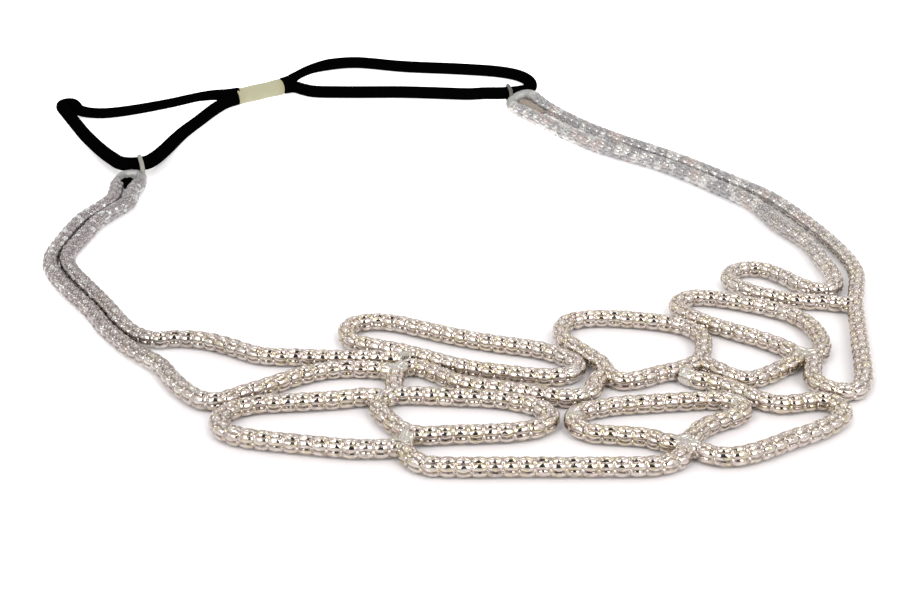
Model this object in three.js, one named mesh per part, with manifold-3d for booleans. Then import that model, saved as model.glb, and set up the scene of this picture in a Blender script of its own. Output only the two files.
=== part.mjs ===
// A bridal headband of popcorn chain, laid flat on a table.
// Doubled chains make an openwork front of tacked loops and two straps, and a black round elastic
// in a short sleeve closes it at the back. Millimetres, +Z up, the table at Z = 0, the front at -Y.
import * as THREE from 'three';
import { mergeVertices } from 'three/addons/utils/BufferGeometryUtils.js';
import Module from 'manifold-3d';

const wasm = await Module();
wasm.setup();

// Driving dimensions
const CHAIN_WIDTH = 3.0;
const CHAIN_STEP = 2.4;
const ELASTIC_WIDTH = 3.2;
const ELASTIC_STEP = 3.4;
const TUBE_SIDES = 8;
const RING_WIRE = 1.1;
const RING_STEP = 1.3;
const RING_CLEAR = 0.5;
const SLEEVE_WIDTH = 4.2;
const SLEEVE_LENGTH = 13.8;
const SLEEVE_RIM = 0.4;
const SLEEVE_SIDES = 16;
const KNOT_WIDTH = 1.9;
const KNOT_LENGTH = 4.2;
const KNOT_SIDES = 10;
const KNOT_BANDS = 6;
const GAP = 0.3;
const HALF_JOIN = 0.8;
const FINE_STEP = 0.1;
const WELD = 0.001;
const NUDGE = 0.0005;
const TURN_POINTS = 3;

// Heights of the centre-lines, and the lift of a strap's end over the lower wire of its ring
const CHAIN_Z = CHAIN_WIDTH / 2;
const ELASTIC_Z = ELASTIC_WIDTH / 2;
const RING_LIFT = RING_WIRE + RING_CLEAR;

// Distance in a ring between the chain's centre-line and the elastic's
const RING_REACH = (CHAIN_WIDTH + ELASTIC_WIDTH) / 2 + RING_CLEAR;

// The middle of the laid headband, which becomes the origin
const MIDDLE = new THREE.Vector2(-0.35, -0.29);
const UP = new THREE.Vector3(0, 0, 1);

// Straps: the line between the two strands, from the eye at the back to the front.
// Columns: x, y, distance between the strands, share of the ring's lift
const STRAP_LEFT = [
  [-71.6, 24.4, 5.6, 1.0],
  [-71.0, 19.2, 5.4, 0.9],
  [-70.4, 13.2, 4.2, 0.3],
  [-72.2, 3.5, 3.7, 0.04],
  [-75.5, -5.5, 3.6, 0],
  [-76.8, -14.0, 3.6, 0],
  [-75.8, -20.0, 3.6, 0],
  [-73.4, -25.3, 3.6, 0],
  [-70.0, -30.5, 3.7, 0],
  [-63.6, -39.8, 3.7, 0],
  [-59.4, -45.5, 3.6, 0],
];
const STRAP_RIGHT = [
  [19.4, 74.6, 5.6, 1.0],
  [21.8, 69.9, 5.4, 0.9],
  [25.2, 64.4, 4.6, 0.3],
  [32.4, 55.2, 4.2, 0.04],
  [39.2, 46.8, 4.2, 0],
  [51.0, 33.0, 4.2, 0],
  [61.0, 20.2, 4.4, 0],
  [67.2, 9.0, 5.2, 0],
  [70.8, -3.0, 6.0, 0],
  [73.6, -12.0, 6.0, 0],
  [75.2, -18.8, 5.4, 0],
  [75.2, -25.0, 4.6, 0],
];

// Routes of the chains on the table, x and y of each centre-line
const LEFT_FRONT_INNER = [
  [-10.0, -57.3], [-13.5, -56.9], [-18.0, -57.0], [-25.4, -56.6], [-32.2, -55.9], [-37.8, -52.8],
  [-42.4, -50.7], [-47.0, -50.0], [-51.4, -50.4], [-54.8, -48.6],
];
const LEFT_FRONT_OUTER = [
  [-54.3, -54.1], [-48.6, -59.3], [-45.6, -64.0], [-42.4, -68.0], [-39.4, -70.4], [-36.7, -70.6],
  [-33.6, -68.6], [-29.3, -65.8], [-24.7, -62.7], [-20.5, -60.9], [-16.0, -60.4], [-11.8, -60.8],
];
const RIGHT_FRONT_INNER = [
  [71.0, -36.9], [67.8, -36.2], [63.6, -35.8], [59.8, -34.5], [56.5, -32.6], [53.9, -30.1],
  [52.7, -26.9], [54.2, -23.8], [57.0, -22.4], [60.2, -22.9], [63.0, -25.5], [65.6, -29.3],
  [68.4, -31.6], [71.6, -30.6],
];
const RIGHT_FRONT_OUTER = [
  [75.8, -31.4], [74.3, -36.4], [73.3, -42.2], [71.9, -51.1], [70.4, -59.5], [68.9, -64.9],
  [66.4, -67.6], [63.4, -67.7], [61.0, -66.4], [59.7, -64.1], [59.9, -61.8], [60.7, -59.8],
];
const LOOPS = {
  chain_upper_left: [
    [-18.2, -48.2], [-17.3, -45.2], [-14.2, -43.9], [-9.8, -44.4], [-5.3, -46.4], [1.7, -49.6],
    [8.6, -52.0], [15.2, -54.0], [19.2, -56.5], [21.3, -59.4], [19.9, -62.2], [15.6, -63.1],
    [9.1, -61.9], [3.3, -60.4], [-0.8, -58.6], [-5.0, -56.3], [-9.4, -54.3], [-13.7, -52.7],
    [-16.9, -51.0],
  ],
  chain_upper_middle: [
    [19.4, -47.6], [21.0, -44.0], [25.0, -42.6], [29.5, -42.6], [34.0, -43.3], [38.1, -44.3],
    [41.6, -46.0], [43.7, -49.2], [43.3, -53.9], [41.8, -58.0], [38.2, -60.7], [34.4, -62.2],
    [31.2, -63.8], [28.4, -64.4], [26.4, -62.9], [25.3, -59.0], [22.4, -54.6], [20.2, -51.3],
  ],
  chain_upper_right: [
    [41.3, -37.6], [44.2, -34.6], [48.2, -34.8], [53.0, -36.4], [57.2, -38.4], [61.1, -41.1],
    [63.2, -44.1], [64.2, -48.5], [63.9, -52.6], [62.9, -55.2], [61.0, -56.4], [59.0, -55.6],
    [56.9, -52.9], [53.2, -49.8], [50.5, -48.0], [47.6, -46.0], [44.5, -43.4], [42.0, -40.4],
  ],
  chain_centre: [
    [-8.8, -69.0], [-5.5, -68.9], [0.0, -69.3], [6.4, -69.8], [10.5, -70.8], [13.5, -72.3],
    [15.4, -74.2], [15.6, -76.2], [14.2, -78.0], [11.6, -79.2], [8.0, -79.8], [4.0, -80.1],
    [-0.6, -80.3], [-4.0, -80.6], [-7.1, -79.4], [-9.5, -76.3], [-11.3, -73.1], [-10.9, -70.4],
  ],
  chain_lower_right: [
    [19.2, -75.7], [20.7, -73.9], [23.2, -72.9], [27.0, -71.9], [31.8, -71.3], [36.4, -70.8],
    [41.3, -70.3], [44.4, -70.7], [46.1, -72.0], [46.0, -73.9], [44.4, -75.4], [41.4, -76.9],
    [38.6, -78.9], [36.9, -81.3], [35.0, -82.9], [32.8, -82.6], [30.2, -81.2], [26.0, -80.5],
    [21.6, -79.8], [19.6, -78.1],
  ],
};
const OPEN_CHAINS = {
  chain_middle: [
    [-9.1, -66.7], [-9.0, -63.4], [-8.5, -61.1], [-6.5, -59.8], [-4.1, -60.6], [-0.3, -63.7],
    [2.4, -65.6], [8.1, -67.0], [12.9, -68.2], [16.8, -69.3], [19.4, -69.7], [21.6, -69.0],
    [23.2, -67.4], [23.4, -65.2],
  ],
  chain_lower_left: [
    [-13.6, -69.3], [-17.6, -70.1], [-22.0, -70.7], [-26.3, -71.1], [-31.0, -71.7], [-34.4, -73.4],
    [-36.0, -76.0], [-35.0, -79.0], [-32.0, -80.9], [-28.1, -81.9], [-24.2, -82.6], [-19.6, -83.4],
    [-15.0, -84.1], [-11.3, -84.2], [-9.2, -84.0],
  ],
  chain_front: [
    [-6.8, -82.8], [-6.8, -84.6], [-5.6, -87.0], [-3.4, -88.5], [-0.5, -88.9], [7.4, -88.9],
    [14.7, -88.9], [22.1, -88.9], [30.2, -88.6], [33.0, -87.6], [34.6, -86.2],
  ],
  chain_right_front: [
    [37.6, -84.8], [39.5, -86.0], [42.5, -86.2], [46.6, -84.7], [51.8, -81.7], [56.2, -79.4],
    [60.0, -76.6], [61.8, -73.9], [61.2, -71.5], [59.2, -70.5], [56.1, -71.0], [52.4, -71.6],
    [49.4, -70.2], [47.2, -68.2], [45.0, -66.2], [42.6, -64.7], [40.3, -63.9],
  ],
  chain_link: [
    [57.5, -58.4], [54.9, -60.6], [51.9, -62.8], [48.9, -64.0], [46.5, -63.0], [44.8, -61.3],
    [43.6, -59.9],
  ],
};

// Elastic: x, y and z of the cord from the sleeve round its loop and back to the sleeve
const SLEEVE_AT = [-50.5, 84.4];
const SLEEVE_TURN = THREE.MathUtils.degToRad(38.7);
const ELASTIC_LEFT = [
  [-56.1, 80.0, 2.8], [-57.9, 78.7, 2.9], [-60.6, 77.7, 2.9], [-64.8, 76.7, 2.5],
  [-69.8, 75.6, 2.0], [-78.5, 72.4, 1.7], [-87.6, 69.7, 1.6], [-93.2, 70.8, 1.6],
  [-97.6, 73.6, 1.6], [-100.8, 74.4, 1.6],
  [-101.4, 71.9, 1.6], [-98.8, 67.8, 1.6], [-94.6, 61.6, 1.6], [-87.8, 49.8, 1.65],
  [-81.2, 40.2, 1.8], [-77.6, 34.9, 2.3], [-75.2, 31.9, 2.9], [-72.4, 30.8, 3.2],
  [-69.8, 31.9, 2.9], [-68.2, 36.0, 2.2], [-67.2, 43.0, 1.75], [-65.6, 54.6, 1.6],
  [-63.0, 65.8, 1.6], [-60.4, 73.2, 1.6], [-58.2, 77.2, 1.6], [-56.1, 79.6, 1.6],
];
const ELASTIC_RIGHT = [
  [-44.9, 89.0, 2.8], [-43.3, 90.6, 3.0], [-42.2, 94.0, 3.0], [-40.2, 100.0, 2.6],
  [-37.6, 105.8, 2.0], [-33.2, 110.2, 1.7], [-26.8, 112.0, 1.6], [-13.0, 108.2, 1.6], [3.1, 105.8, 1.6],
  [13.9, 103.2, 1.6], [19.0, 99.6, 1.65], [21.5, 94.2, 1.8], [21.7, 88.2, 2.2],
  [19.8, 82.4, 3.0], [16.5, 80.2, 3.2], [13.0, 80.2, 3.0], [9.2, 82.0, 2.4],
  [5.0, 83.2, 1.8], [-1.0, 84.2, 1.65],
  [-12.3, 85.4, 1.6], [-27.7, 85.4, 1.6], [-36.4, 86.0, 1.6], [-39.6, 88.0, 1.6],
  [-42.0, 89.9, 1.6], [-44.5, 89.0, 1.6],
];
const LEFT_FAR_POINT = 12;
const RIGHT_FAR_POINT = 11;

// Colours and finishes
const SILVER = { color: 0xd6cfc8, roughness: 0.25, metalness: 1.0 };
const PALE_WIRE = { color: 0xe4e0d6, roughness: 0.35, metalness: 0.9 };
const CREAM = { color: 0xe9e4c0, roughness: 0.55, metalness: 0.0 };
const BLACK = { color: 0x0b0b0c, roughness: 0.9, metalness: 0.0 };

// Section of a tube, with a flat side below and one above
function tubeSection(width) {
  const radius = width / 2 / Math.cos(Math.PI / TUBE_SIDES);
  const corner = (_, k) => {
    const angle = (2 * Math.PI * (k + 0.5)) / TUBE_SIDES;
    return new THREE.Vector2(radius * Math.cos(angle), radius * Math.sin(angle));
  };
  return new THREE.Shape(Array.from({ length: TUBE_SIDES }, corner));
}

// A smooth route. The tangent of a closed one runs on across its seam, so both ends of its tube agree
class Route extends THREE.CatmullRomCurve3 {
  constructor(points, closed = false) {
    super(points, closed, 'centripetal');
  }

  getTangent(t, target = new THREE.Vector3()) {
    if (!this.closed) {
      return super.getTangent(t, target);
    }
    const before = this.getPoint((t - NUDGE + 1) % 1);
    const after = this.getPoint((t + NUDGE) % 1);
    return target.copy(after).sub(before).normalize();
  }
}

// A route over the table, on which a tube keeps its lowest side level where it rises
class LevelRoute extends Route {
  computeFrenetFrames(segments) {
    return levelFrames(this, segments);
  }

  // Share of the route's length at which it comes nearest to a point
  shareAt(point) {
    const steps = Math.round(this.getLength() / FINE_STEP);
    const distances = this.getSpacedPoints(steps).map((p) => p.distanceTo(point));
    return distances.indexOf(Math.min(...distances)) / steps;
  }
}

// The part of a route between two shares of its length
class Stretch extends THREE.Curve {
  constructor(route, from, to) {
    super();
    this.route = route;
    this.from = from;
    this.to = to;
  }

  share(t) {
    return THREE.MathUtils.lerp(this.from, this.to, t);
  }

  getPoint(t, target = new THREE.Vector3()) {
    return this.route.getPointAt(this.share(t), target);
  }

  getTangent(t, target = new THREE.Vector3()) {
    return this.route.getTangentAt(this.share(t), target);
  }

  computeFrenetFrames(segments) {
    return levelFrames(this, segments);
  }
}

function levelFrames(route, segments) {
  const shares = Array.from({ length: segments + 1 }, (_, k) => k / segments);
  const tangents = shares.map((share) => route.getTangentAt(share));
  const normals = tangents.map((way) => new THREE.Vector3().crossVectors(UP, way).normalize());
  const binormals = tangents.map((way, k) => new THREE.Vector3().crossVectors(way, normals[k]));
  return { tangents, normals, binormals };
}

function weld(geometry) {
  geometry.deleteAttribute('normal');
  geometry.deleteAttribute('uv');
  return mergeVertices(geometry, WELD);
}

// Tube along a route. A closed one has no end faces, which are the extrusion's first group
function tube(route, width, step) {
  const steps = Math.round(route.getLength() / step);
  const section = tubeSection(width);
  const solid = new THREE.ExtrudeGeometry(section, { steps, bevelEnabled: false, extrudePath: route });
  if (!route.closed) {
    return weld(solid);
  }
  const { start, count } = solid.groups[1];
  const corners = solid.getAttribute('position').array.slice(start * 3, (start + count) * 3);
  const walls = new THREE.BufferGeometry();
  walls.setAttribute('position', new THREE.BufferAttribute(corners, 3));
  return mergeVertices(walls, WELD);
}

function onTable(route) {
  return route.map(([x, y]) => new THREE.Vector3(x, y, CHAIN_Z));
}

function inSpace(route) {
  return route.map(([x, y, z]) => new THREE.Vector3(x, y, z));
}

// One strand of a strap: side 1 lies to the right of the way to the front, side -1 to the left
function strand(rows, side) {
  return rows.map(([x, y, apart, lift], k) => {
    const [ax, ay] = rows[Math.max(k - 1, 0)];
    const [bx, by] = rows[Math.min(k + 1, rows.length - 1)];
    const way = new THREE.Vector2(bx - ax, by - ay).normalize();
    const out = (side * apart) / 2;
    return new THREE.Vector3(x - out * -way.y, y - out * way.x, CHAIN_Z + lift * RING_LIFT);
  });
}

// The turn round a strap's eye, from the strand at side 1 to the one at side -1
function eyeTurn(rows) {
  const [x, y, apart, lift] = rows[0];
  const back = backward(rows);
  const radius = apart / 2;
  return Array.from({ length: TURN_POINTS }, (_, k) => {
    const angle = (Math.PI * (k + 1)) / (TURN_POINTS + 1);
    const along = radius * Math.sin(angle);
    const across = radius * Math.cos(angle);
    return new THREE.Vector3(
      x + along * back.x - across * back.y,
      y + along * back.y + across * back.x,
      CHAIN_Z + lift * RING_LIFT,
    );
  });
}

// Way from a strap's second row to its eye
function backward(rows) {
  const [[x, y], [nextX, nextY]] = rows;
  return new THREE.Vector2(x - nextX, y - nextY).normalize();
}

// A doubled chain: from one end at the front back along a strap, round its eye and forward again
function doubledChain(front, rows, side, back) {
  const turn = eyeTurn(rows);
  return [
    ...onTable(front),
    ...strand(rows, side).reverse(),
    ...(side === 1 ? turn : turn.reverse()),
    ...strand(rows, -side),
    ...onTable(back),
  ];
}

// The upright wire ring that holds a strap's eye and the elastic side by side
function endRing() {
  const clear = ELASTIC_WIDTH / 2 + RING_CLEAR + RING_WIRE / 2;
  const round = new THREE.Path();
  round.absarc(RING_REACH / 2, 0, clear, -Math.PI / 2, Math.PI / 2);
  round.absarc(-RING_REACH / 2, 0, clear, Math.PI / 2, (3 * Math.PI) / 2);
  const bends = Math.round(round.getLength() / RING_STEP);
  const points = round.getSpacedPoints(bends).slice(0, -1);
  const upright = points.map((p) => new THREE.Vector3(p.x, 0, p.y));
  return tube(new Route(upright, true), RING_WIRE, RING_STEP);
}

function placeRing(ring, rows) {
  const [x, y, apart] = rows[0];
  const back = backward(rows);
  const out = apart / 2 + RING_REACH / 2;
  ring.geometry.computeBoundingBox();
  ring.position.set(x + out * back.x, y + out * back.y, -ring.geometry.boundingBox.min.z);
  ring.rotation.z = Math.atan2(back.y, back.x);
}

// The small knot that fills a strap's eye, in front of the ring's wire
function placeKnot(knot, rows) {
  const [x, y, apart] = rows[0];
  const back = backward(rows);
  const wire = apart / 2 - ELASTIC_WIDTH / 2 - RING_CLEAR - RING_WIRE;
  const inward = KNOT_LENGTH / 2 + GAP - wire;
  knot.position.set(x - inward * back.x, y - inward * back.y, CHAIN_Z + RING_LIFT);
  knot.rotation.z = Math.atan2(back.y, back.x);
  knot.scale.set(KNOT_LENGTH / KNOT_WIDTH, 1, 1);
}

function toManifold(geometry) {
  return new wasm.Manifold(new wasm.Mesh({
    numProp: 3,
    vertProperties: geometry.getAttribute('position').array,
    triVerts: new Uint32Array(geometry.index.array),
  }));
}

function fromManifold(solid) {
  const mesh = solid.getMesh();
  const geometry = new THREE.BufferGeometry();
  geometry.setAttribute('position', new THREE.BufferAttribute(mesh.vertProperties, 3));
  geometry.setIndex(new THREE.BufferAttribute(mesh.triVerts, 1));
  return geometry;
}

// One loop of the elastic: its two strands meet at the loop's far point and lie together in the sleeve
function elasticLoop(route, farPoint) {
  const points = inSpace(route);
  const path = new LevelRoute(points);
  const middle = path.shareAt(points[farPoint]);
  const overlap = HALF_JOIN / path.getLength();
  const going = toManifold(tube(new Stretch(path, 0, middle + overlap), ELASTIC_WIDTH, ELASTIC_STEP));
  const coming = toManifold(tube(new Stretch(path, middle, 1), ELASTIC_WIDTH, ELASTIC_STEP));
  return fromManifold(going.add(coming));
}

// The sleeve: a short pipe round both strands, drawn as a closed pin with softened rims
function sleevePin() {
  const radius = SLEEVE_WIDTH / 2;
  const half = SLEEVE_LENGTH / 2 - GAP;
  const profile = [
    new THREE.Vector2(0, -half),
    new THREE.Vector2(radius - SLEEVE_RIM, -half),
    new THREE.Vector2(radius, -half + SLEEVE_RIM),
    new THREE.Vector2(radius, half - SLEEVE_RIM),
    new THREE.Vector2(radius - SLEEVE_RIM, half),
    new THREE.Vector2(0, half),
  ];
  return weld(new THREE.LatheGeometry(profile, SLEEVE_SIDES));
}

const laid = new THREE.Group();
laid.position.set(-MIDDLE.x, -MIDDLE.y, 0);

function addPiece(name, geometry, finish) {
  const piece = new THREE.Mesh(geometry, new THREE.MeshStandardMaterial(finish));
  piece.name = name;
  laid.add(piece);
  return piece;
}

function addChain(name, route) {
  addPiece(name, tube(route, CHAIN_WIDTH, CHAIN_STEP), SILVER);
}

// The two strands of a doubled chain, which meet in the middle of the strap's eye
function addStrands(name, points, rows) {
  const route = new LevelRoute(points);
  const middle = route.shareAt(eyeTurn(rows)[(TURN_POINTS - 1) / 2]);
  const halfGap = GAP / 2 / route.getLength();
  addChain(`${name}_inner`, new Stretch(route, 0, middle - halfGap));
  addChain(`${name}_outer`, new Stretch(route, middle + halfGap, 1));
}

const leftChain = doubledChain(LEFT_FRONT_INNER, STRAP_LEFT, -1, LEFT_FRONT_OUTER);
const rightChain = doubledChain(RIGHT_FRONT_INNER, STRAP_RIGHT, 1, RIGHT_FRONT_OUTER);
addStrands('chain_left', leftChain, STRAP_LEFT);
addStrands('chain_right', rightChain, STRAP_RIGHT);
for (const [name, route] of Object.entries(LOOPS)) {
  addChain(name, new LevelRoute(onTable(route), true));
}
for (const [name, route] of Object.entries(OPEN_CHAINS)) {
  addChain(name, new LevelRoute(onTable(route)));
}

for (const [side, rows] of [['left', STRAP_LEFT], ['right', STRAP_RIGHT]]) {
  placeRing(addPiece(`end_ring_${side}`, endRing(), PALE_WIRE), rows);
  const ball = weld(new THREE.SphereGeometry(KNOT_WIDTH / 2, KNOT_SIDES, KNOT_BANDS));
  placeKnot(addPiece(`knot_${side}`, ball, BLACK), rows);
}

addPiece('elastic_left', elasticLoop(ELASTIC_LEFT, LEFT_FAR_POINT), BLACK);
addPiece('elastic_right', elasticLoop(ELASTIC_RIGHT, RIGHT_FAR_POINT), BLACK);
const sleeve = addPiece('sleeve', sleevePin(), CREAM);
sleeve.position.set(...SLEEVE_AT, (SLEEVE_WIDTH / 2) * Math.cos(Math.PI / SLEEVE_SIDES));
sleeve.rotation.order = 'ZYX';
sleeve.rotation.set(0, Math.PI / SLEEVE_SIDES, SLEEVE_TURN - Math.PI / 2);

export default laid;
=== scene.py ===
"""Looks of a bridal headband: popcorn chain in an openwork front and two straps, closed by elastic.

Routes are in millimetres on the table, as the part was laid out. Meshes are in metres, in the frame
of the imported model.
"""

from __future__ import annotations

import logging
import math
from dataclasses import dataclass, field
from enum import Enum
from typing import Any, Mapping, Optional, Sequence, Union

import bpy
import numpy as np
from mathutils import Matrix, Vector

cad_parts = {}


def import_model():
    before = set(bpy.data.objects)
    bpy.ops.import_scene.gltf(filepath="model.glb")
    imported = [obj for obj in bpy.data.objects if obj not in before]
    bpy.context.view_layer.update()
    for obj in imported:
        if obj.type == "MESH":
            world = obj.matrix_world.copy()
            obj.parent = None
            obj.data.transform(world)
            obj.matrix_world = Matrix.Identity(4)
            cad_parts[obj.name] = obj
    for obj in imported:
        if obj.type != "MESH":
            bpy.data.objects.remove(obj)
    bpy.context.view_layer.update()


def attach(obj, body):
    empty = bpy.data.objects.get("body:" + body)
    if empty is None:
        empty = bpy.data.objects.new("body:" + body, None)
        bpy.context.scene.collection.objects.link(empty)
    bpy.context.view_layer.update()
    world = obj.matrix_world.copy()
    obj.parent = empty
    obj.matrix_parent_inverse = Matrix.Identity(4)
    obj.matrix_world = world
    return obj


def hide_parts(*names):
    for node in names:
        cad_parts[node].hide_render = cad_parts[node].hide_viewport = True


LOG = logging.getLogger("headband")
BODY = "root"
SEAM_SHADE = "seam_shade"
SMOOTH = "smooth"
MM = 0.001
TABLE_MIDDLE = np.array([-0.35, -0.29, 0.0])
UP = np.array([0.0, 0.0, 1.0])
# Height of the chains' centre-lines, the most that a ring lifts an eye, and points of an eye's turn
CHAIN_Z = 1.58
RING_LIFT = 1.6
TURN_POINTS = 3

Colour = tuple[float, float, float, float]
Number = Union[float, "Socket"]


class Slot(Enum):
    """Material slots of the record."""

    CHAIN = "chain_metal"
    RING = "ring_wire"
    ELASTIC = "elastic"
    SLEEVE = "sleeve"


class Lie(Enum):
    """How a length of chain lies: with two ends, or closed into a loop."""

    OPEN = "open"
    CLOSED = "closed"


class Socket:
    """A node's output, which Python's operators extend with Math nodes."""

    def __init__(self, graph: Graph, output: bpy.types.NodeSocket) -> None:
        """Wrap an output of a graph's node."""
        self.graph = graph
        self.output = output

    def other(self, name: str) -> Socket:
        """Give another output of the same node."""
        return Socket(self.graph, self.output.node.outputs[name])

    def _math(self, operation: str, first: Number, second: Number) -> Socket:
        """Add one Math node to the graph."""
        return self.graph.node("ShaderNodeMath", {"operation": operation}, {0: first, 1: second})

    def __add__(self, other: Number) -> Socket:
        """Sum."""
        return self._math("ADD", self, other)

    def __radd__(self, other: Number) -> Socket:
        """Sum with a number on the left."""
        return self._math("ADD", other, self)

    def __sub__(self, other: Number) -> Socket:
        """Difference."""
        return self._math("SUBTRACT", self, other)

    def __rsub__(self, other: Number) -> Socket:
        """Difference from a number on the left."""
        return self._math("SUBTRACT", other, self)

    def __mul__(self, other: Number) -> Socket:
        """Product."""
        return self._math("MULTIPLY", self, other)

    def __rmul__(self, other: Number) -> Socket:
        """Product with a number on the left."""
        return self._math("MULTIPLY", other, self)


class Graph:
    """The node tree of a material or of the surround."""

    def __init__(self, tree: bpy.types.NodeTree) -> None:
        """Take over a tree and empty it."""
        self.tree = tree
        tree.nodes.clear()

    def node(
        self,
        kind: str,
        settings: Optional[Mapping[str, Any]] = None,
        sockets: Optional[Mapping[Union[int, str], Any]] = None,
        output: Union[int, str] = 0,
    ) -> Socket:
        """Add a node.

        Args:
            kind: Blender's name of the node's type.
            settings: properties of the node.
            sockets: a value or a Socket for each input, by name or place.
            output: the output to hand back.

        Returns:
            The chosen output, or an empty Socket for a node with none.
        """
        made = self.tree.nodes.new(kind)
        for name, value in (settings or {}).items():
            setattr(made, name, value)
        for place, value in (sockets or {}).items():
            if isinstance(value, Socket):
                self.tree.links.new(value.output, made.inputs[place])
            else:
                made.inputs[place].default_value = value
        return Socket(self, made.outputs[output] if len(made.outputs) else None)

    def mix(self, share: Number, first: Any, second: Any) -> Socket:
        """Mix two colours.

        Args:
            share: how much of the second colour.
            first: a colour or a Socket.
            second: a colour or a Socket.

        Returns:
            The mixed colour.
        """
        return self.node("ShaderNodeMix", {"data_type": "RGBA"}, {0: share, 6: first, 7: second}, 2)

    def step(self, value: Number, low: float, high: float) -> Socket:
        """Rise smoothly from 0 to 1.

        Args:
            value: what is compared.
            low: where the rise starts.
            high: where it ends, which may be the lower of the two.

        Returns:
            The share from 0 to 1.
        """
        settings = {"interpolation_type": "SMOOTHSTEP"}
        sockets = {"Value": value, "From Min": low, "From Max": high}
        return self.node("ShaderNodeMapRange", settings, sockets)

    def noise(self, where: Socket, size_mm: float, detail: float = 2.0) -> Socket:
        """Make soft patches.

        Args:
            where: the place on the object, in metres.
            size_mm: about how large a patch is.
            detail: how many finer layers lie on it.

        Returns:
            The noise, which lies round 0.5.
        """
        sockets = {"Vector": where, "Scale": 1.0 / (size_mm * MM), "Detail": detail}
        return self.node("ShaderNodeTexNoise", {"noise_dimensions": "3D"}, sockets, "Fac")

    def cells(self, where: Socket, size_mm: float) -> Socket:
        """Split the object into small cells.

        Args:
            where: the place on the object, in metres.
            size_mm: about how large a cell is.

        Returns:
            A share for each cell, with a second one in the output named Green.
        """
        sockets = {"Vector": where, "Scale": 1.0 / (size_mm * MM)}
        cell = self.node("ShaderNodeTexVoronoi", {"feature": "F1"}, sockets, "Color")
        return self.node("ShaderNodeSeparateColor", sockets={0: cell})

    def bump(self, height: Socket, strength: float, depth_mm: float) -> Socket:
        """Dent the surface without moving it.

        Args:
            height: the relief.
            strength: how much of it shows.
            depth_mm: its depth, below 0 where high is inward.

        Returns:
            The dented normal.
        """
        sockets = {"Height": height, "Strength": strength, "Distance": depth_mm * MM}
        return self.node("ShaderNodeBump", sockets=sockets)


@dataclass(frozen=True)
class Finish:
    """A finish that a material is made from."""

    name: str

    def material(self) -> bpy.types.Material:
        """Make the material.

        Returns:
            A new node material.
        """
        made = bpy.data.materials.new(self.name)
        made.use_nodes = True
        graph = Graph(made.node_tree)
        where = graph.node("ShaderNodeTexCoord", output="Object")
        shader = graph.node("ShaderNodeBsdfPrincipled", sockets=self.sockets(graph, where))
        graph.node("ShaderNodeOutputMaterial", sockets={"Surface": shader})
        return made

    def sockets(self, graph: Graph, where: Socket) -> dict[str, Any]:
        """Give the shader's inputs.

        Args:
            graph: the material's graph.
            where: the place on the object, in metres.

        Returns:
            A value or a Socket for each named input.
        """
        raise NotImplementedError


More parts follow.
